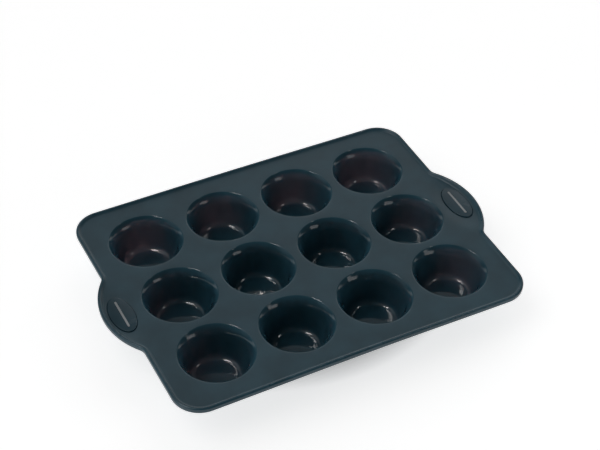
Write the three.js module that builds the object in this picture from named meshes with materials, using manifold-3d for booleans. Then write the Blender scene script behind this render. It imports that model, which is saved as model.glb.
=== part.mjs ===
// A muffin mould with twelve cups. One flexible silicone moulding forms the deck, the cups, the raised rim and
// a lug at each end. A welded ring of steel wire lies in a channel inside the rim and keeps it straight. An
// oval badge with a plain bar along the top of it is let into each lug.
// Millimetres, +X along the length, +Y to the back, +Z up. The origin is on the table under the centre.
import * as THREE from "three";
import { mergeVertices } from "three/addons/utils/BufferGeometryUtils.js";
import Module from "manifold-3d";

const wasm = await Module();
wasm.setup();

// Cups: the standard muffin size, 70 mm across the mouth and 50 mm at the foot.
const CUP_COLUMNS = 4;
const CUP_ROWS = 3;
const CUP_PITCH = 80;
const MOUTH_RADIUS = 35;
const MOUTH_ROUNDING = 1;
const FOOT_RADIUS = 24.5; // where the wall and the floor would meet without the fillet
const FOOT_FILLET = 5.5;
const WALL_LEAN = THREE.MathUtils.degToRad(12); // from upright
const FLARE_DEPTH = 11; // below the deck, where the wall starts to curve out to the mouth
const CUP_DEPTH = 33.5;
const CUP_SKIN = 1.5;

// Deck and rim
const DECK_TOP = CUP_SKIN + CUP_DEPTH;
const DECK_THICKNESS = 2.4;
const HALF_LENGTH = 176.5;
const HALF_WIDTH = 137.5;
const CORNER_RADIUS = 27;
const RIM_WIDTH = 4.8;
const RIM_TOP = DECK_TOP + 2;
const RIM_BOTTOM = DECK_TOP - 3;
const RIM_ROUNDING = 1.2;

// Lugs: each is a disc around the outer middle cup, run into the side through a hollow fillet.
const LUG_CENTRE_X = 1.5 * CUP_PITCH;
const LUG_RADIUS = 75;
const LUG_FILLET = 11;

// Wire ring and its channel, both of eight-sided section
const WIRE_THICKNESS = 2.4;
const WIRE_GAP = 0.35;
const PIN_HOLE_RADIUS = 1;
const PIN_HOLES_PER_LONG_SIDE = 5;
const PIN_HOLE_SPACING = 60;

// Badges
const BADGE_CENTRE_X = 177;
const BADGE_HALF_LENGTH = 22.8;
const BADGE_HALF_WIDTH = 11.2;
const BADGE_GAP = 0.4;
const RECESS_DEPTH = 1;
const BOND_GAP = 0.1;
const BADGE_TOP = DECK_TOP + 1.2;
const BADGE_ROUNDING = 1;
const BAR_HALF_LENGTH = 17;
const BAR_HALF_WIDTH = 1;
const BAR_THICKNESS = 0.3;

// Fineness of the round surfaces
const CUP_SEGMENTS = 24;
const CURVE_STEPS = 2;
const OUTLINE_STEPS = 4;
const OVAL_STEPS = 14;
const PIN_HOLE_SEGMENTS = 8;
const CLEAR = 5; // how far a cutting shape runs past the surface it opens

const SILICONE = { color: 0x323e44, roughness: 0.45, metalness: 0 };
const BADGE_SILICONE = { color: 0x26323a, roughness: 0.25, metalness: 0 };
const BAR_SILICONE = { color: 0x9aa3a8, roughness: 0.4, metalness: 0 };
const STEEL = { color: 0xb4b7ba, roughness: 0.3, metalness: 1 };

// A three.js geometry as a manifold-3d solid, without the sliver triangles at a lathe's axis.
function toSolid(geometry) {
  const bare = geometry.clone();
  bare.deleteAttribute("normal");
  bare.deleteAttribute("uv");
  const merged = mergeVertices(bare, 1e-4);
  const corners = merged.index.array;
  const kept = [];
  for (let i = 0; i < corners.length; i += 3) {
    const [a, b, c] = corners.slice(i, i + 3);
    if (a !== b && b !== c && c !== a) kept.push(a, b, c);
  }
  const vertProperties = merged.attributes.position.array;
  return new wasm.Manifold(new wasm.Mesh({ numProp: 3, vertProperties, triVerts: new Uint32Array(kept) }));
}

function toGeometry(solid) {
  const { vertProperties, triVerts } = solid.getMesh();
  const geometry = new THREE.BufferGeometry();
  geometry.setAttribute("position", new THREE.BufferAttribute(vertProperties, 3));
  geometry.setIndex(new THREE.BufferAttribute(triVerts, 1));
  geometry.computeVertexNormals();
  return geometry;
}

// The tray's outline moved inwards by inset. The left half is the right half turned by half a turn.
function outline(inset) {
  const hollowX = HALF_LENGTH + LUG_FILLET;
  const hollowY = Math.sqrt((LUG_RADIUS + LUG_FILLET) ** 2 - (hollowX - LUG_CENTRE_X) ** 2);
  const lugAngle = Math.atan2(hollowY, hollowX - LUG_CENTRE_X);
  const cornerX = HALF_LENGTH - CORNER_RADIUS;
  const cornerY = HALF_WIDTH - CORNER_RADIUS;
  const corner = CORNER_RADIUS - inset;
  const hollow = LUG_FILLET + inset;
  const lug = LUG_RADIUS - inset;
  const shape = new THREE.Shape();
  for (const side of [1, -1]) {
    const turn = side > 0 ? 0 : Math.PI;
    const arc = (x, y, radius, from, to, clockwise) =>
      shape.absarc(side * x, side * y, radius, turn + from, turn + to, clockwise);
    arc(cornerX, -cornerY, corner, -Math.PI / 2, 0, false);
    arc(hollowX, -hollowY, hollow, Math.PI, Math.PI - lugAngle, true);
    arc(LUG_CENTRE_X, 0, lug, -lugAngle, lugAngle, false);
    arc(hollowX, hollowY, hollow, Math.PI + lugAngle, Math.PI, true);
    arc(cornerX, cornerY, corner, 0, Math.PI / 2, false);
  }
  return shape;
}

// The band between two insets of the outline.
function outlineBand(outerInset, innerInset) {
  const shape = outline(outerInset);
  shape.holes.push(outline(innerInset));
  return shape;
}

// A shape raised from bottom to top, with its edges taken off by rounding in a few steps.
function slab(shape, bottom, top, { rounding = 0, steps = 1, curveSegments = OUTLINE_STEPS } = {}) {
  const geometry = new THREE.ExtrudeGeometry(shape, {
    depth: top - bottom - 2 * rounding,
    curveSegments,
    bevelEnabled: rounding > 0,
    bevelThickness: rounding,
    bevelSize: rounding,
    bevelOffset: -rounding,
    bevelSegments: steps,
  });
  return geometry.translate(0, 0, bottom + rounding);
}

// A ring of eight-sided section that follows the middle of the rim.
function rimRing(thickness) {
  const middle = RIM_WIDTH / 2;
  const centreZ = (RIM_TOP + RIM_BOTTOM) / 2;
  const half = thickness / 2;
  const rounding = thickness / (2 + Math.SQRT2);
  return slab(outlineBand(middle - half, middle + half), centreZ - half, centreZ + half, { rounding });
}

// A solid of revolution filling a cup, skin outside the cup's inner surface, whose wall leans out to a flare.
// The cup's own hollow (skin 0) ends in a rounded mouth and runs clear of the deck.
function cupSolid(skin) {
  const floorZ = DECK_TOP - CUP_DEPTH - skin;
  const footRadius = FOOT_RADIUS + skin;
  const fillet = FOOT_FILLET + skin;
  const rounding = skin > 0 ? 0 : MOUTH_ROUNDING;
  const topRadius = MOUTH_RADIUS + skin;
  const wallTop = skin > 0 ? DECK_TOP - DECK_THICKNESS / 2 : DECK_TOP - rounding;
  const lean = Math.tan(WALL_LEAN);
  const flareFoot = footRadius + lean * (CUP_DEPTH - FLARE_DEPTH);
  const flareBend = footRadius + lean * (CUP_DEPTH - FLARE_DEPTH / 2);
  const section = new THREE.Path();
  section.moveTo(0, floorZ);
  section.lineTo(footRadius - fillet, floorZ);
  section.quadraticCurveTo(footRadius, floorZ, footRadius + lean * fillet, floorZ + fillet);
  section.lineTo(flareFoot, DECK_TOP - FLARE_DEPTH);
  section.quadraticCurveTo(flareBend, DECK_TOP - FLARE_DEPTH / 2, topRadius, wallTop);
  if (rounding > 0) {
    section.quadraticCurveTo(topRadius, DECK_TOP, topRadius + rounding, DECK_TOP);
    section.lineTo(topRadius + rounding, DECK_TOP + CLEAR);
    section.lineTo(0, DECK_TOP + CLEAR);
  } else {
    section.lineTo(0, wallTop);
  }
  const geometry = new THREE.LatheGeometry(section.getPoints(CURVE_STEPS), CUP_SEGMENTS);
  return toSolid(geometry.rotateX(Math.PI / 2));
}

// Cup centres, row by row from the front.
function cupCentres() {
  const centres = [];
  for (let row = 0; row < CUP_ROWS; row += 1) {
    for (let column = 0; column < CUP_COLUMNS; column += 1) {
      const x = (column - (CUP_COLUMNS - 1) / 2) * CUP_PITCH;
      const y = (row - (CUP_ROWS - 1) / 2) * CUP_PITCH;
      centres.push([x, y]);
    }
  }
  return centres;
}

// Holes under the long sides of the rim, where pins held the wire ring in the mould while it was covered.
function pinHoles() {
  const bottom = RIM_BOTTOM - CLEAR;
  const top = (RIM_TOP + RIM_BOTTOM) / 2;
  const hole = new THREE.CylinderGeometry(PIN_HOLE_RADIUS, PIN_HOLE_RADIUS, top - bottom, PIN_HOLE_SEGMENTS);
  hole.rotateX(Math.PI / 2).translate(0, 0, (bottom + top) / 2);
  const solid = toSolid(hole);
  const holes = [];
  for (const side of [1, -1]) {
    for (let i = 0; i < PIN_HOLES_PER_LONG_SIDE; i += 1) {
      const x = (i - (PIN_HOLES_PER_LONG_SIDE - 1) / 2) * PIN_HOLE_SPACING;
      holes.push(solid.translate([x, side * (HALF_WIDTH - RIM_WIDTH / 2), 0]));
    }
  }
  return holes;
}

function oval(halfWidth, halfLength) {
  return new THREE.Shape().absellipse(0, 0, halfWidth, halfLength, 0, 2 * Math.PI);
}

// A narrow strip along Y with half-round ends.
function barShape() {
  const reach = BAR_HALF_LENGTH - BAR_HALF_WIDTH;
  const shape = new THREE.Shape();
  shape.absarc(0, reach, BAR_HALF_WIDTH, 0, Math.PI, false);
  shape.absarc(0, -reach, BAR_HALF_WIDTH, Math.PI, 2 * Math.PI, false);
  return shape;
}

function makeTray() {
  const rimShape = outlineBand(0, RIM_WIDTH);
  let tray = toSolid(slab(rimShape, RIM_BOTTOM, RIM_TOP, { rounding: RIM_ROUNDING, steps: 2 }));
  tray = tray.add(toSolid(slab(outline(RIM_WIDTH / 2), DECK_TOP - DECK_THICKNESS, DECK_TOP)));
  const cupOutside = cupSolid(CUP_SKIN);
  const cupInside = cupSolid(0);
  for (const [x, y] of cupCentres()) tray = tray.add(cupOutside.translate([x, y, 0]));
  for (const [x, y] of cupCentres()) tray = tray.subtract(cupInside.translate([x, y, 0]));
  tray = tray.subtract(toSolid(rimRing(WIRE_THICKNESS + 2 * WIRE_GAP)));
  for (const hole of pinHoles()) tray = tray.subtract(hole);
  const recessShape = oval(BADGE_HALF_WIDTH + BADGE_GAP, BADGE_HALF_LENGTH + BADGE_GAP);
  const ovalFineness = { curveSegments: OVAL_STEPS };
  const recess = toSolid(slab(recessShape, DECK_TOP - RECESS_DEPTH, DECK_TOP + CLEAR, ovalFineness));
  for (const side of [1, -1]) tray = tray.subtract(recess.translate([side * BADGE_CENTRE_X, 0, 0]));
  return toGeometry(tray);
}

function makeBadge() {
  const bottom = DECK_TOP - RECESS_DEPTH + BOND_GAP;
  const pillow = { rounding: BADGE_ROUNDING, steps: 3, curveSegments: OVAL_STEPS };
  return slab(oval(BADGE_HALF_WIDTH, BADGE_HALF_LENGTH), bottom, BADGE_TOP, pillow);
}

function makeBar() {
  const bottom = BADGE_TOP + BOND_GAP;
  return slab(barShape(), bottom, bottom + BAR_THICKNESS);
}

const mould = new THREE.Group();

function place(name, geometry, finish, x = 0) {
  const mesh = new THREE.Mesh(geometry, new THREE.MeshStandardMaterial(finish));
  mesh.name = name;
  mesh.position.x = x;
  mould.add(mesh);
}

place("silicone_tray", makeTray(), SILICONE);
place("rim_wire", rimRing(WIRE_THICKNESS), STEEL);
for (const [end, side] of [["left", -1], ["right", 1]]) {
  place(`${end}_badge`, makeBadge(), BADGE_SILICONE, side * BADGE_CENTRE_X);
  place(`${end}_badge_bar`, makeBar(), BAR_SILICONE, side * BADGE_CENTRE_X);
}

export default mould;
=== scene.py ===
"""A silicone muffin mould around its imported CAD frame: moulding, wire ring, badges and studio."""

import math

import bmesh
import bpy
import numpy as np
from mathutils import Matrix, Vector
from mathutils.geometry import delaunay_2d_cdt


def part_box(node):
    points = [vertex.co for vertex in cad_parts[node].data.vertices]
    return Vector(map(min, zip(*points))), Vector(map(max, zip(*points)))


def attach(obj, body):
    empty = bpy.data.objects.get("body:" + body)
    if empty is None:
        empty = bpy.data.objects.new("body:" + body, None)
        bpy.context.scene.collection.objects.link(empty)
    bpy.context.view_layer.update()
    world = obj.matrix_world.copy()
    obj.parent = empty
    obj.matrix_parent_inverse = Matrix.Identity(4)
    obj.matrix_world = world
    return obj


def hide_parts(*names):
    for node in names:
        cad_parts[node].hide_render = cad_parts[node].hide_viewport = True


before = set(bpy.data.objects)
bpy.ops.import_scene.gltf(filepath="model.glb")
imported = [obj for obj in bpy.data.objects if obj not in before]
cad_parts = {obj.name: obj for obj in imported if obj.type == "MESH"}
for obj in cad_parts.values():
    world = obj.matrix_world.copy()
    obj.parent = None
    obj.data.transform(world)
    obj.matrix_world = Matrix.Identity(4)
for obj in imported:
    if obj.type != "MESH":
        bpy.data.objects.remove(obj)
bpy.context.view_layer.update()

# ---------------------------------------------------------------- sizes, in metres
MM = 0.001

# Cups. The inside runs from a domed floor over a fillet, up a lean wall and out through a flare to the mouth.
CUP_COLUMNS = 4
CUP_ROWS = 3
CUP_PITCH = 80 * MM
MOUTH_RADIUS = 36.1 * MM
MOUTH_EDGE = 0.8 * MM  # from the deck in to the bend of the mouth's edge
FLARE_TOP_RADIUS = 34.8 * MM
FLARE_TOP_DROP = 0.75 * MM
FLARE_DEPTH = 11 * MM
WALL_LEAN = math.tan(math.radians(12))
FOOT_RADIUS = 24.5 * MM
FOOT_FILLET = 5.5 * MM
FLOOR_DOME = 0.6 * MM
CUP_SKIN = 1.5 * MM
DECK_THICKNESS = 2.4 * MM
UNDER_FILLET = 1.6 * MM  # where a cup's outside runs into the underside of the deck

# Deck outline
HALF_LENGTH = 177 * MM
HALF_WIDTH = 137.5 * MM
CORNER_RADIUS = 27 * MM
LUG_CENTRE_X = 1.5 * CUP_PITCH
LUG_RADIUS = 75 * MM
LUG_FILLET = 11 * MM

# Rim and the wire in it
RIM_DROP = 3 * MM
RIM_TOP_WIDTH = 2.6 * MM
RIM_FOOT_WIDTH = 4.6 * MM
RIM_UNDER_WIDTH = 4.8 * MM
RIM_SIDE_INSET = 1.4 * MM  # the painted shade on the rim's side reaches in and down this far over the rounding of its edge
RIM_SIDE_DROP = 1.2 * MM
RIM_REACH = 5.75 * MM  # how far in the rim's own mesh goes before the plain sheets of the deck
WIRE_RADIUS = 1.2 * MM
WIRE_INSET = 2.4 * MM
PIN_HOLE_RADIUS = 1.0 * MM
PIN_HOLES_PER_LONG_SIDE = 5
PIN_HOLE_SPACING = 60 * MM

# Badges
BADGE_CENTRE_X = 177 * MM
BADGE_HALF_LENGTH = 22.8 * MM
BADGE_HALF_WIDTH = 11.2 * MM
BADGE_GAP = 0.35 * MM
BADGE_CROWN = 0.4 * MM  # how much higher the middle is than the edge
BADGE_BROW = 1.1 * MM  # from the edge in to the start of the crown
BADGE_LIFT = 0.1 * MM  # over the floor of the recess
RECESS_DEPTH = 1.0 * MM
BAR_HALF_LENGTH = 17 * MM
BAR_HALF_WIDTH = 1.0 * MM
BAR_THICKNESS = 0.3 * MM
BAR_SINK = 0.03 * MM  # of the bar's underside into the badge
DISH_DEPTH = 1.2 * MM
DISH_WIDTH = 10 * MM  # of the slope round the badge

# How the soft moulding lies: its ends sag, and its left end is a little askew
SAG = {"left_front": 1.1 * MM, "left_back": 0.7 * MM, "right_front": 2.1 * MM, "right_back": 0.7 * MM}
SAG_LENGTH = 170 * MM  # from the middle to where the sag is full
SPREAD_PER_SAG = 0.45  # how far the right end moves out as it sags
SKEW = 1.0 * MM
FREE_HEIGHT = 8 * MM  # below this the cups' feet hold their places

RIM_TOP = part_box("silicone_tray")[1][2]
DECK_TOP = RIM_TOP - 2 * MM
DECK_UNDER = DECK_TOP - DECK_THICKNESS
RIM_BOTTOM = DECK_TOP - RIM_DROP
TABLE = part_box("silicone_tray")[0][2]
CUP_FLOOR = TABLE + CUP_SKIN
BADGE_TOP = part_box("left_badge")[1][2]

# Camera. Directions are (azimuth, elevation) in degrees, from +X towards +Y and up from the table.
CAMERA_TARGET = (21.7 * MM, 35.8 * MM)  # on the plane of the deck
CAMERA_DIRECTION = (-117.95, 42.49)
CAMERA_DISTANCE = 1.4144
CAMERA_ROLL = 1.56
CAMERA_LENS = 87.76
SENSOR_WIDTH = 36

# Room. Each patch has a middle direction, and is even out to its inner angle and gone at its outer one.
SCREEN = {"middle": (55, 5), "inner": 25, "outer": 48}
SCREEN_STRENGTH = 1.1
WINDOW = {"middle": (152, 50), "inner": 10, "outer": 38}
WINDOW_STRENGTH = 0.9
ROOM_DIMNESS = 0.07
ABOVE_LOW_WALL = {"middle": (0, 90), "inner": 81, "outer": 84}
DIM_LOW_WALL = {"middle": (-85, 0), "inner": 60, "outer": 80}
DIM_LOW_WALL_STRENGTH = 0.1

# Lamps: name, azimuth, elevation, distance, size and radiance, and if it fills or only shows as a gleam
LAMPS = (
    ("back_left", 140, 70, 1.5, (0.28, 0.30), 18, False),
    ("right", -2, 61, 1.5, (0.40, 0.12), 6, False),
    ("front_right", -50, 14, 0.85, (0.38, 0.20), 1.5, True),
    ("front_left", -155, 2.5, 0.9, (0.45, 0.07), 9, True),
    ("sparkle", 65, 46, 1.5, (0.02, 0.02), 60, True),
)

# Table: it glows outside an oval under the mould, from none to all of TABLE_GLOW between two parts of that oval
TABLE_HALF_SIDE = 6.0
TABLE_GAP = 0.2 * MM
TABLE_WHITE = 0.9
TABLE_GLOW = 0.72
LIT_HALF_LENGTH = 185 * MM
LIT_HALF_WIDTH = 145 * MM
GLOW_START = 0.6
GLOW_END = 0.92

# Materials. Heights are over the deck.
TRAY_COLOUR = (0.027, 0.087, 0.122)
TRAY_ROUGHNESS = 0.42
TRAY_GLOW_REACH = (0.0053, 0.0040, 0.0040)
BADGE_COLOUR = (0.024, 0.072, 0.102)
BADGE_ROUGHNESS = 0.25
BAR_COLOUR = (0.44, 0.47, 0.49)
BAR_ROUGHNESS = 0.45
SILICONE_IOR = 1.41
OUTSIDE_PAINTED_SHADE = 0.5  # painted shade: the sides, backs and underside are painted with this much of the deck's colour, so they look shaded
CUP_GLOSS = 0.18  # roughness in the cups as part of the deck's
CUP_GLOSS_FULL = -0.06 * MM
CUP_GLOSS_NONE = -0.01 * MM
RIM_GLOSS = 0.65  # roughness on the crest of the rim as part of the deck's
RIM_GLOSS_NONE = 0.2 * MM
RIM_GLOSS_FULL = 1.4 * MM
GLOW_FULL = -3.5 * MM
GLOW_NONE = -2 * MM
STEEL_COLOUR = (0.52, 0.53, 0.54)

# Fineness of the meshes
CUP_SEGMENTS = 80
OVAL_SEGMENTS = 96
PIN_HOLE_SEGMENTS = 20
WIRE_SEGMENTS = 12
DECK_GRID = 6 * MM


# ---------------------------------------------------------------- lines
def arc_points(cx, cy, radius, start, end, count):
    """count points of an arc, its end point left out, angles in radians."""
    for i in range(count):
        a = start + (end - start) * i / count
        yield Vector((cx + radius * math.cos(a), cy + radius * math.sin(a)))


def straight(start, end, count):
    """count points of a straight line, its end point left out."""
    for i in range(count):
        yield start.lerp(end, i / count)


def quadratic(start, control, end, steps):
    """steps points of a quadratic curve after its start."""
    for k in range(1, steps + 1):
        t = k / steps
        yield start * (1 - t) ** 2 + control * (2 * t * (1 - t)) + end * t**2


def oval(half_width, half_length, centre=(0.0, 0.0), segments=OVAL_SEGMENTS):
    """Points of an oval whose half_length lies along Y."""
    x, y = centre
    turn = [2 * math.pi * i / segments for i in range(segments)]
    return [Vector((x + half_width * math.cos(a), y + half_length * math.sin(a))) for a in turn]


def rounded(corners, steps=5):
    """A polyline through (a, b, radius) corners, each turned by an arc of its radius."""
    points = []
    for i, (a, b, radius) in enumerate(corners):
        here = Vector((a, b))
        if radius <= 0 or i in (0, len(corners) - 1):
            points.append(here)
            continue
        before = (Vector(corners[i - 1][:2]) - here).normalized()
        after = (Vector(corners[i + 1][:2]) - here).normalized()
        half_angle = before.angle(after) / 2
        reach = radius / math.tan(half_angle)
        centre = here + (before + after).normalized() * (radius / math.sin(half_angle))
        start, end = here + before * reach - centre, here + after * reach - centre
        sweep = start.angle_signed(end)
        for k in range(steps + 1):
            turned = start.copy()
            turned.rotate(Matrix.Rotation(-sweep * k / steps, 2))
            points.append(centre + turned)
    return points


def outline(inset):
    """The tray's outline moved inwards by inset. Its number of points doesn't depend on inset."""
    hollow_x = HALF_LENGTH + LUG_FILLET
    hollow_y = math.sqrt((LUG_RADIUS + LUG_FILLET) ** 2 - (hollow_x - LUG_CENTRE_X) ** 2)
    lug_angle = math.atan2(hollow_y, hollow_x - LUG_CENTRE_X)
    corner_x, corner_y = HALF_LENGTH - CORNER_RADIUS, HALF_WIDTH - CORNER_RADIUS
    corner, hollow, lug = CORNER_RADIUS - inset, LUG_FILLET + inset, LUG_RADIUS - inset
    half = []
    half += arc_points(corner_x, -corner_y, corner, -math.pi / 2, 0, 20)
    half += straight(Vector((HALF_LENGTH - inset, -corner_y)), Vector((HALF_LENGTH - inset, -hollow_y)), 8)
    half += arc_points(hollow_x, -hollow_y, hollow, math.pi, math.pi - lug_angle, 12)
    half += arc_points(LUG_CENTRE_X, 0, lug, -lug_angle, lug_angle, 36)
    half += arc_points(hollow_x, hollow_y, hollow, math.pi + lug_angle, math.pi, 12)
    half += straight(Vector((HALF_LENGTH - inset, hollow_y)), Vector((HALF_LENGTH - inset, corner_y)), 8)
    half += arc_points(corner_x, corner_y, corner, 0, math.pi / 2, 20)
    half += straight(Vector((corner_x, HALF_WIDTH - inset)), Vector((-corner_x, HALF_WIDTH - inset)), 40)
    return half + [-p for p in half]


# ---------------------------------------------------------------- how the moulding lies
def smooth_step(low, high, value):
    t = min(max((value - low) / (high - low), 0), 1)
    return t * t * (3 - 2 * t)


def dish(x, y):
    """Depth of the shallow dish round each badge."""
    dx, dy = abs(x) - BADGE_CENTRE_X, y
    reach = math.hypot(dx / BADGE_HALF_WIDTH, dy / BADGE_HALF_LENGTH)
    outside = (reach - 1) * BADGE_HALF_WIDTH
    from_edge = LUG_RADIUS - math.hypot(abs(x) - LUG_CENTRE_X, y)
    return DISH_DEPTH * (1 - smooth_step(0, DISH_WIDTH, outside)) * smooth_step(3 * MM, 6 * MM, from_edge)


def laid(point):
    """Where a point of the flat moulding comes to lie."""
    x, y, z = point
    free = smooth_step(FREE_HEIGHT, DECK_TOP, z - TABLE)
    front = (HALF_WIDTH - y) / (2 * HALF_WIDTH)
    end = "left" if x < 0 else "right"
    most = SAG[f"{end}_back"] + (SAG[f"{end}_front"] - SAG[f"{end}_back"]) * front
    along = math.sin(math.pi / 2 * min(abs(x) / SAG_LENGTH, 1)) ** 2
    sag = most * along
    shift = SPREAD_PER_SAG * sag if x > 0 else -SKEW * y / HALF_WIDTH * along
    return Vector((x + shift * free, y, z - (sag + dish(x, y)) * free))


# ---------------------------------------------------------------- mesh building
def flat(points):
    return np.array([(p.x, p.y) for p in points])


def inside(points, ring):
    """For each point, True if it lies within a closed ring."""
    x, y = points[:, :1], points[:, 1:]
    a, b = ring, np.roll(ring, -1, axis=0)
    crosses = (a[:, 1] > y) != (b[:, 1] > y)
    rise = np.where(b[:, 1] == a[:, 1], 1, b[:, 1] - a[:, 1])
    crosses &= x < a[:, 0] + (y - a[:, 1]) * (b[:, 0] - a[:, 0]) / rise
    return crosses.sum(axis=1) % 2 == 1


def within(points, border, holes):
    """For each point, True if it lies within the border and outside every hole."""
    kept = inside(points, border)
    for hole in holes:
        near = kept & (np.abs(points - hole.mean(axis=0)) <= np.ptp(hole, axis=0)).all(axis=1)
        kept[near] = ~inside(points[near], hole)
    return kept


def grid_points(border, holes):
    """A staggered grid of points inside border, clear of its edge and of the holes."""
    low, high = border.min(axis=0), border.max(axis=0)
    rows, columns = np.mgrid[0:int((high[1] - low[1]) / DECK_GRID), 0:int((high[0] - low[0]) / DECK_GRID)]
    x = low[0] + (columns + 0.5 * (rows % 2) + 0.5) * DECK_GRID
    y = low[1] + (rows + 0.5) * DECK_GRID
    points = np.column_stack([x.ravel(), y.ravel()])
    points = points[within(points, border, holes)]
    edges = np.concatenate([border, *holes])
    clear = [np.hypot(*(edges - p).T).min() > 0.5 * DECK_GRID for p in points]
    return [Vector(p) for p in points[clear]]


class Builder:
    """Collects vertices and faces of a piece as moulded flat; loops that meet are welded at the end.

    Each vertex notes if it lies on the outside of the moulding: its edge, its underside or the back of a cup.
    These get painted shade, a darkened colour.
    """

    def __init__(self):
        self.points = []
        self.faces = []
        self.outside = []

    def mark_painted_shade(self, value=1.0):
        """Notes the vertices added since the last call, with how much painted shade they get."""
        self.outside += [value] * (len(self.points) - len(self.outside))

    def loop(self, points, z):
        """Adds a closed loop of points at height z."""
        first = len(self.points)
        self.points += [Vector((p.x, p.y, z)) for p in points]
        return list(range(first, first + len(points)))

    def skin(self, loops, flip=False):
        """Joins each loop to the next with quads."""
        for low, high in zip(loops, loops[1:]):
            n = len(low)
            for i in range(n):
                j = (i + 1) % n
                face = [low[i], low[j], high[j], high[i]]
                self.faces.append(face[::-1] if flip else face)

    def cap(self, loop, height=0.0, flip=False):
        """Closes a loop with triangles round its middle, raised by height."""
        middle = sum((self.points[i] for i in loop), Vector()) / len(loop)
        self.points.append(middle + Vector((0, 0, height)))
        tip = len(self.points) - 1
        for i, a in enumerate(loop):
            b = loop[(i + 1) % len(loop)]
            self.faces.append([b, a, tip] if flip else [a, b, tip])

    def sheet(self, border, holes, z, up=True):
        """A flat sheet inside border with holes left out, in small triangles."""
        rings = [border, *holes]
        corners, edges = [], []
        for ring in rings:
            first = len(corners)
            corners += ring
            edges += [(first + i, first + (i + 1) % len(ring)) for i in range(len(ring))]
        flat_rings = [flat(ring) for ring in rings]
        corners += grid_points(flat_rings[0], flat_rings[1:])
        points, _, triangles, *_ = delaunay_2d_cdt(corners, edges, [], 0, 1e-7)
        places = flat(points)
        kept = within(places[np.array(triangles)].mean(axis=1), flat_rings[0], flat_rings[1:])
        first = len(self.points)
        self.points += [Vector((p.x, p.y, z)) for p in points]
        for triangle, keep in zip(triangles, kept):
            if keep:
                face = [first + i for i in triangle]
                self.faces.append(face if up else face[::-1])

    def object(self, name, weld=2e-6):
        """Makes the object as it lies, with each vertex's height in the flat moulding kept as an attribute."""
        mesh = bpy.data.meshes.new(name)
        mesh.from_pydata([tuple(p) for p in self.points], [], self.faces)
        self.mark_painted_shade(0.0)
        mesh.attributes.new("outside", "FLOAT", "POINT").data.foreach_set("value", self.outside)
        build = bmesh.new()
        build.from_mesh(mesh)
        bmesh.ops.remove_doubles(build, verts=build.verts, dist=weld)
        bmesh.ops.dissolve_degenerate(build, edges=build.edges, dist=1e-7)
        bmesh.ops.recalc_face_normals(build, faces=build.faces)
        height = build.verts.layers.float.new("moulded_height")
        for vert in build.verts:
            vert[height] = vert.co.z - DECK_TOP
            vert.co = laid(vert.co)
        loose = [edge for edge in build.edges if len(edge.link_faces) != 2]
        print(f"{name}: {len(build.verts)} vertices, {len(build.faces)} faces, {len(loose)} open edges")
        build.to_mesh(mesh)
        build.free()
        mesh.shade_smooth()
        made = bpy.data.objects.new(name, mesh)
        bpy.context.scene.collection.objects.link(made)
        return made


# ---------------------------------------------------------------- the moulding
def cup_centres():
    for row in range(CUP_ROWS):
        for column in range(CUP_COLUMNS):
            yield ((column - (CUP_COLUMNS - 1) / 2) * CUP_PITCH, (row - (CUP_ROWS - 1) / 2) * CUP_PITCH)


def cup_inside():
    """Half-section of a cup's inside, (radius, height), from the edge of its floor to the top of its flare."""
    depth = DECK_TOP - CUP_FLOOR
    floor_edge = Vector((FOOT_RADIUS - FOOT_FILLET, CUP_FLOOR))
    wall_foot = Vector((FOOT_RADIUS + WALL_LEAN * FOOT_FILLET, CUP_FLOOR + FOOT_FILLET))
    flare_foot = Vector((FOOT_RADIUS + WALL_LEAN * (depth - FLARE_DEPTH), DECK_TOP - FLARE_DEPTH))
    flare_bend = Vector((FOOT_RADIUS + WALL_LEAN * (depth - FLARE_DEPTH / 2), DECK_TOP - FLARE_DEPTH / 2))
    flare_top = Vector((FLARE_TOP_RADIUS, DECK_TOP - FLARE_TOP_DROP))
    section = [floor_edge]
    section += quadratic(floor_edge, Vector((FOOT_RADIUS, CUP_FLOOR)), wall_foot, 8)
    section += [wall_foot.lerp(flare_foot, k / 4) for k in range(1, 5)]
    section += quadratic(flare_foot, flare_bend, flare_top, 9)
    return section


def offset(section, distance):
    """A section moved outwards, away from the cup's inside."""
    moved = []
    for i, here in enumerate(section):
        along = section[min(i + 1, len(section) - 1)] - section[max(i - 1, 0)]
        moved.append(here + Vector((along.y, -along.x)).normalized() * distance)
    return moved


def add_cup(build, centre):
    """Adds a cup's two surfaces, and returns the radii of its holes in the deck's top and underside."""
    inner = cup_inside()
    bend = Vector((MOUTH_RADIUS - MOUTH_EDGE, DECK_TOP))
    inner += quadratic(inner[-1], bend, Vector((MOUTH_RADIUS, DECK_TOP)), 6)
    floor_edge = inner[0]
    floor = [Vector((floor_edge.x * k / 5, CUP_FLOOR + FLOOR_DOME * (1 - (k / 5) ** 2))) for k in range(1, 5)]
    outer = [p for p in offset(cup_inside(), CUP_SKIN)[1::2] if p.y < DECK_UNDER - UNDER_FILLET]
    outer.insert(0, Vector((floor_edge.x, TABLE)))
    last, before = outer[-1], outer[-2]
    bend = last + (last - before) * ((DECK_UNDER - last.y) / (last.y - before.y))
    outer += quadratic(last, bend, bend + Vector((UNDER_FILLET, 0)), 5)
    for wall, back, rise in ((floor + inner, False, FLOOR_DOME * 0.04), (outer, True, 0)):
        loops = [build.loop(oval(p.x, p.x, centre, CUP_SEGMENTS), p.y) for p in wall]
        build.cap(loops[0], rise, flip=back)
        build.skin(loops, flip=not back)
        # a cup's outside gets painted shade, its inside none
        build.mark_painted_shade(float(back))
    return inner[-1].x, outer[-1].x


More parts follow.
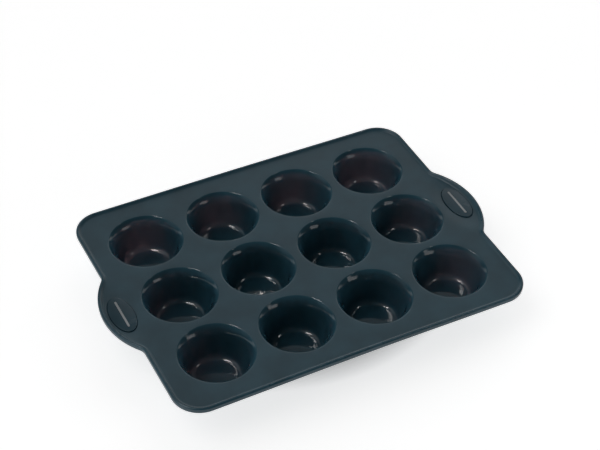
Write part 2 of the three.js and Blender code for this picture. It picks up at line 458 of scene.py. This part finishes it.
def add_recess(build, side):
    """Adds a badge's recess and returns the oval that it leaves in the deck."""
    centre = (side * BADGE_CENTRE_X, 0)
    section = rounded([
        (BADGE_GAP + 0.6 * MM, DECK_TOP, 0),
        (BADGE_GAP, DECK_TOP, 0.5 * MM),
        (BADGE_GAP, DECK_TOP - RECESS_DEPTH, 0.15 * MM),
        (-1 * MM, DECK_TOP - RECESS_DEPTH, 0),
    ])
    rings = [oval(BADGE_HALF_WIDTH + p.x, BADGE_HALF_LENGTH + p.x, centre) for p in section]
    loops = [build.loop(ring, p.y) for ring, p in zip(rings, section)]
    build.skin(loops, flip=True)
    build.cap(loops[-1])
    return rings[0]


def add_pin_holes(build):
    """Adds blind holes that run up to the wire, and returns their circles in the rim's underside."""
    circles = []
    for side in (1, -1):
        for i in range(PIN_HOLES_PER_LONG_SIDE):
            x = (i - (PIN_HOLES_PER_LONG_SIDE - 1) / 2) * PIN_HOLE_SPACING
            y = side * (HALF_WIDTH - WIRE_INSET)
            circles.append(oval(PIN_HOLE_RADIUS, PIN_HOLE_RADIUS, (x, y), PIN_HOLE_SEGMENTS))
            loops = [build.loop(circles[-1], z) for z in (RIM_BOTTOM, (RIM_TOP + RIM_BOTTOM) / 2)]
            build.skin(loops, flip=True)
            build.cap(loops[-1], flip=True)
    return circles


def make_tray():
    build = Builder()
    over = rounded([
        (RIM_REACH, DECK_TOP, 0),
        (RIM_FOOT_WIDTH, DECK_TOP, 2.4 * MM),
        (RIM_TOP_WIDTH, RIM_TOP, 1.6 * MM),
        (0, RIM_TOP, 1.4 * MM),
        (0, RIM_BOTTOM, 0.9 * MM),
        (1.2 * MM, RIM_BOTTOM, 0),
    ])
    under = rounded([
        (RIM_UNDER_WIDTH - 1 * MM, RIM_BOTTOM, 0),
        (RIM_UNDER_WIDTH, RIM_BOTTOM, 0.25 * MM),
        (RIM_UNDER_WIDTH + 0.2 * MM, DECK_UNDER, 0.2 * MM),
        (RIM_REACH, DECK_UNDER, 0),
    ])
    loops = []
    for p in over:
        loops.append(build.loop(outline(p.x), p.y))
        # the rim's side, below its top, gets painted shade
        build.mark_painted_shade(min(max((RIM_TOP - p.y) / RIM_SIDE_DROP, 0), 1) if p.x < RIM_SIDE_INSET else 0.0)
    build.skin(loops)
    build.skin([build.loop(outline(p.x), p.y) for p in under])
    build.sheet(outline(over[-1].x), [outline(under[0].x), *add_pin_holes(build)], RIM_BOTTOM, up=False)
    # the rim's underside and its pin holes get full painted shade
    build.mark_painted_shade()
    top_holes, under_holes = [], []
    for centre in cup_centres():
        top_radius, under_radius = add_cup(build, centre)
        top_holes.append(oval(top_radius, top_radius, centre, CUP_SEGMENTS))
        under_holes.append(oval(under_radius, under_radius, centre, CUP_SEGMENTS))
    top_holes += [add_recess(build, side) for side in (-1, 1)]
    build.sheet(outline(RIM_REACH), top_holes, DECK_TOP)
    build.mark_painted_shade(0.0)
    build.sheet(outline(RIM_REACH), under_holes, DECK_UNDER, up=False)
    # the deck's underside gets full painted shade
    build.mark_painted_shade()
    return build.object("tray")


def make_wire():
    """The ring of round wire inside the rim."""
    build = Builder()
    middle = (RIM_TOP + RIM_BOTTOM) / 2
    loops = []
    for i in range(WIRE_SEGMENTS):
        a = 2 * math.pi * i / WIRE_SEGMENTS
        inset = WIRE_INSET + WIRE_RADIUS * math.cos(a)
        loops.append(build.loop(outline(inset), middle + WIRE_RADIUS * math.sin(a)))
    build.skin([*loops, loops[0]])
    return build.object("rim_wire_ring")


def badge_height(x, y):
    """Height of a badge's crowned top, x from its middle."""
    return BADGE_TOP - BADGE_CROWN * ((x / BADGE_HALF_WIDTH) ** 2 + (y / BADGE_HALF_LENGTH) ** 2)


def make_badge(side, end):
    """An oval pad with a low crown and a rounded edge, standing in the recess."""
    build = Builder()
    centre = (side * BADGE_CENTRE_X, 0)
    bottom = DECK_TOP - RECESS_DEPTH + BADGE_LIFT
    brow = BADGE_TOP - BADGE_CROWN
    section = rounded([
        (-1.0 * MM, bottom, 0),
        (0, bottom, 0.25 * MM),
        (0, brow, 0.55 * MM),
        (-BADGE_BROW, brow, 0),
    ], 6)
    loops = [build.loop(oval(BADGE_HALF_WIDTH + p.x, BADGE_HALF_LENGTH + p.x, centre), p.y) for p in section]
    rings = 8
    for k in range(1, rings):
        t = 1 - k / rings
        ring = oval((BADGE_HALF_WIDTH - BADGE_BROW) * t, (BADGE_HALF_LENGTH - BADGE_BROW) * t, centre)
        loops.append(build.loop(ring, brow + BADGE_CROWN * (1 - t * t)))
    build.skin(loops)
    build.cap(loops[0], flip=True)
    build.cap(loops[-1])
    return build.object(end + "_badge_pad")


def make_bar(side, end):
    """A slim strip with round ends that follows the crown of the badge."""
    build = Builder()
    steps = 10
    middle_x = side * BADGE_CENTRE_X
    reach = BAR_HALF_LENGTH - BAR_HALF_WIDTH

    def ring(shrink):
        radius = BAR_HALF_WIDTH - shrink
        points = list(arc_points(middle_x, reach, radius, 0, math.pi, steps))
        points += straight(Vector((middle_x - radius, reach)), Vector((middle_x - radius, -reach)), steps)
        points += arc_points(middle_x, -reach, radius, math.pi, 2 * math.pi, steps)
        points += straight(Vector((middle_x + radius, -reach)), Vector((middle_x + radius, reach)), steps)
        return points

    section = rounded([
        (0.3 * MM, 0, 0),
        (0, 0, 0.05 * MM),
        (0, BAR_THICKNESS, 0.15 * MM),
        (0.5 * MM, BAR_THICKNESS, 0),
    ], 4)
    loops = [build.loop(ring(shrink), z) for shrink, z in section]
    build.skin(loops)
    build.cap(loops[0], flip=True)
    build.cap(loops[-1])
    for p in build.points:
        p.z += badge_height(p.x - middle_x, p.y) - BAR_SINK
    return build.object(end + "_badge_strip")


# ---------------------------------------------------------------- materials
def principled(name):
    material = bpy.data.materials.new(name)
    material.use_nodes = True
    return material, material.node_tree, material.node_tree.nodes["Principled BSDF"]


def node(tree, kind, inputs=(), **settings):
    """A new node with its settings and the values of its inputs."""
    made = tree.nodes.new(kind)
    for key, value in settings.items():
        setattr(made, key, value)
    for key, value in dict(inputs).items():
        made.inputs[key].default_value = value
    return made


def noise(tree, scale, detail=2):
    """Noise fixed to the piece."""
    place = node(tree, "ShaderNodeTexCoord")
    made = node(tree, "ShaderNodeTexNoise", {"Scale": scale, "Detail": detail})
    tree.links.new(place.outputs["Object"], made.inputs["Vector"])
    return made.outputs["Fac"]


def spread(tree, value, low, high, start=0.3, end=0.7):
    """Maps value from start..end to low..high."""
    limits = {"From Min": start, "From Max": end, "To Min": low, "To Max": high}
    made = node(tree, "ShaderNodeMapRange", limits)
    tree.links.new(value, made.inputs["Value"])
    return made.outputs["Result"]


def tint(tree, value, colour, contrast, shader, shade=None):
    """Varies the shader's colour about colour as value varies, and scales it by shade, which paints shade on
    the piece.
    """
    ramp = node(tree, "ShaderNodeValToRGB")
    for element, place, gain in zip(ramp.color_ramp.elements, (0.35, 0.65), (1 - contrast, 1 + contrast)):
        element.position = place
        element.color = (*(channel * gain for channel in colour), 1)
    tree.links.new(value, ramp.inputs["Fac"])
    varied = ramp.outputs["Color"]
    if shade:
        scaled = node(tree, "ShaderNodeVectorMath", operation="SCALE")
        tree.links.new(varied, scaled.inputs[0])
        tree.links.new(shade, scaled.inputs["Scale"])
        varied = scaled.outputs["Vector"]
    tree.links.new(varied, shader.inputs["Base Color"])


def grain(tree, shader, scale, strength, distance):
    bump = node(tree, "ShaderNodeBump", {"Strength": strength, "Distance": distance})
    tree.links.new(noise(tree, scale), bump.inputs["Height"])
    tree.links.new(bump.outputs["Normal"], shader.inputs["Normal"])


def attribute(tree, name):
    return node(tree, "ShaderNodeAttribute", attribute_name=name).outputs["Fac"]


def silicone(name, colour, roughness, glow=None):
    """Coloured silicone. glow is how far light of each colour travels in it, in metres."""
    material, tree, shader = principled(name)
    shader.inputs["IOR"].default_value = SILICONE_IOR
    if glow:
        shader.inputs["Subsurface Radius"].default_value = [reach / glow[0] for reach in glow]
        shader.inputs["Subsurface Scale"].default_value = glow[0]
    mottle = noise(tree, 35, detail=3)
    # painted shade: the outside of the moulding is darkened to OUTSIDE_PAINTED_SHADE of the colour
    shade = spread(tree, attribute(tree, "outside"), 1.0, OUTSIDE_PAINTED_SHADE, start=0, end=1)
    tint(tree, mottle, colour, 0.12, shader, shade)
    grain(tree, shader, 1800, 0.05, 0.0002)
    return material, tree, shader, spread(tree, mottle, roughness - 0.03, roughness + 0.03)


def blend(tree, operation, first, second):
    made = node(tree, "ShaderNodeMath", operation=operation)
    tree.links.new(first, made.inputs[0])
    tree.links.new(second, made.inputs[1])
    return made.outputs["Value"]


def tray_silicone():
    """Satin on the deck, smoother on the rim and glossy in the cups, whose thin walls let light through."""
    material, tree, shader, satin = silicone("tray_silicone", TRAY_COLOUR, TRAY_ROUGHNESS, TRAY_GLOW_REACH)
    height = attribute(tree, "moulded_height")
    in_cups = spread(tree, height, CUP_GLOSS, 1.0, start=CUP_GLOSS_FULL, end=CUP_GLOSS_NONE)
    thin = spread(tree, height, 1.0, 0.0, start=GLOW_FULL, end=GLOW_NONE)
    tree.links.new(thin, shader.inputs["Subsurface Weight"])
    on_rim = spread(tree, height, 1.0, RIM_GLOSS, start=RIM_GLOSS_NONE, end=RIM_GLOSS_FULL)
    finish = blend(tree, "MULTIPLY", satin, blend(tree, "MULTIPLY", in_cups, on_rim))
    tree.links.new(finish, shader.inputs["Roughness"])
    return material


def plain_silicone(name, colour, roughness):
    material, tree, shader, finish = silicone(name, colour, roughness)
    tree.links.new(finish, shader.inputs["Roughness"])
    return material


def wire_steel():
    material, tree, shader = principled("wire_steel")
    shader.inputs["Metallic"].default_value = 1.0
    drawn = noise(tree, 600)
    tint(tree, drawn, STEEL_COLOUR, 0.2, shader)
    tree.links.new(spread(tree, drawn, 0.22, 0.38), shader.inputs["Roughness"])
    return material


# ---------------------------------------------------------------- studio
def towards(azimuth, elevation):
    """Unit vector at an azimuth, from +X towards +Y, and an elevation over the table, both in degrees."""
    a, e = math.radians(azimuth), math.radians(elevation)
    return Vector((math.cos(e) * math.cos(a), math.cos(e) * math.sin(a), math.sin(e)))


def make_camera():
    target = Vector((*CAMERA_TARGET, DECK_TOP))
    back = towards(*CAMERA_DIRECTION)
    right = Vector((-back.y, back.x, 0)).normalized()
    turn = Matrix((right, back.cross(right), back)).transposed().to_4x4()
    camera = bpy.data.objects.new("camera", bpy.data.cameras.new("camera"))
    bpy.context.scene.collection.objects.link(camera)
    camera.data.sensor_width = SENSOR_WIDTH
    camera.data.lens = CAMERA_LENS
    roll = Matrix.Rotation(math.radians(CAMERA_ROLL), 4, "Z")
    camera.matrix_world = Matrix.Translation(target + back * CAMERA_DISTANCE) @ turn @ roll
    bpy.context.scene.camera = camera


def softbox(name, azimuth, elevation, distance, size, radiance, fills):
    """A rectangular lamp that faces the mould. One that doesn't fill shows as a gleam only."""
    light = bpy.data.lights.new(name, "AREA")
    light.shape = "RECTANGLE"
    light.size, light.size_y = size
    light.energy = 4 * size[0] * size[1] * radiance
    lamp = bpy.data.objects.new(name, light)
    direction = towards(azimuth, elevation)
    lamp.location = Vector((0, 0, DECK_TOP)) + direction * distance
    lamp.rotation_euler = direction.to_track_quat("Z", "Y").to_euler()
    lamp.visible_diffuse = fills
    bpy.context.scene.collection.objects.link(lamp)


def make_world():
    """A dim room with a screen and a window at the back, and a low white wall that is dim at the front."""
    world = bpy.data.worlds.new("studio")
    world.use_nodes = True
    tree = world.node_tree
    direction = node(tree, "ShaderNodeTexCoord").outputs["Generated"]

    def patch(middle_value, other_value, middle, inner, outer):
        """One value within inner degrees of a direction, and another beyond outer degrees."""
        facing = node(tree, "ShaderNodeVectorMath", operation="DOT_PRODUCT")
        facing.inputs[1].default_value = towards(*middle)
        tree.links.new(direction, facing.inputs[0])
        near, far = math.cos(math.radians(inner)), math.cos(math.radians(outer))
        return spread(tree, facing.outputs["Value"], other_value, middle_value, start=far, end=near)

    screen = patch(SCREEN_STRENGTH, ROOM_DIMNESS, **SCREEN)
    window = patch(WINDOW_STRENGTH, ROOM_DIMNESS, **WINDOW)
    below_top = patch(0, 1, **ABOVE_LOW_WALL)
    low_wall = blend(tree, "MULTIPLY", below_top, patch(DIM_LOW_WALL_STRENGTH, 1, **DIM_LOW_WALL))
    strength = blend(tree, "MAXIMUM", blend(tree, "MAXIMUM", screen, window), low_wall)
    tree.links.new(strength, tree.nodes["Background"].inputs["Strength"])
    tree.nodes["Background"].inputs["Color"].default_value = (1, 1, 1, 1)
    bpy.context.scene.world = world


def make_table():
    """The pale floor, a little below the cups, which glows outside an oval under the mould."""
    half = TABLE_HALF_SIDE
    z = TABLE - TABLE_GAP
    mesh = bpy.data.meshes.new("floor")
    corners = [(-half, -half, z), (half, -half, z), (half, half, z), (-half, half, z)]
    mesh.from_pydata(corners, [], [(0, 1, 2, 3)])
    floor = bpy.data.objects.new("floor", mesh)
    bpy.context.scene.collection.objects.link(floor)
    material, tree, shader = principled("floor_white")
    shader.inputs["Base Color"].default_value = (TABLE_WHITE, TABLE_WHITE, TABLE_WHITE, 1)
    shader.inputs["Roughness"].default_value = 0.7
    shader.inputs["Specular IOR Level"].default_value = 0.1
    shader.inputs["Emission Color"].default_value = (1, 1, 1, 1)
    place = node(tree, "ShaderNodeTexCoord")
    oval_place = node(tree, "ShaderNodeMapping", {"Scale": (1 / LIT_HALF_LENGTH, 1 / LIT_HALF_WIDTH, 0)})
    tree.links.new(place.outputs["Object"], oval_place.inputs["Vector"])
    reach = node(tree, "ShaderNodeVectorMath", operation="LENGTH")
    tree.links.new(oval_place.outputs["Vector"], reach.inputs[0])
    lit = spread(tree, reach.outputs["Value"], 0.0, TABLE_GLOW, start=GLOW_START, end=GLOW_END)
    tree.links.new(lit, shader.inputs["Emission Strength"])
    mesh.materials.append(material)


def make_studio():
    bpy.context.scene.view_settings.view_transform = "Standard"
    make_world()
    make_table()
    for lamp in LAMPS:
        softbox(*lamp)


# ---------------------------------------------------------------- assembly
def dress(piece, material, stands_for):
    piece.data.materials.append(material)
    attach(piece, "root")
    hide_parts(stands_for)


make_camera()
make_studio()

dress(make_tray(), tray_silicone(), "silicone_tray")
dress(make_wire(), wire_steel(), "rim_wire")
badge_finish = plain_silicone("badge_silicone", BADGE_COLOUR, BADGE_ROUGHNESS)
bar_finish = plain_silicone("bar_silicone", BAR_COLOUR, BAR_ROUGHNESS)
for side, end in ((-1, "left"), (1, "right")):
    dress(make_badge(side, end), badge_finish, f"{end}_badge")
    dress(make_bar(side, end), bar_finish, f"{end}_badge_bar")
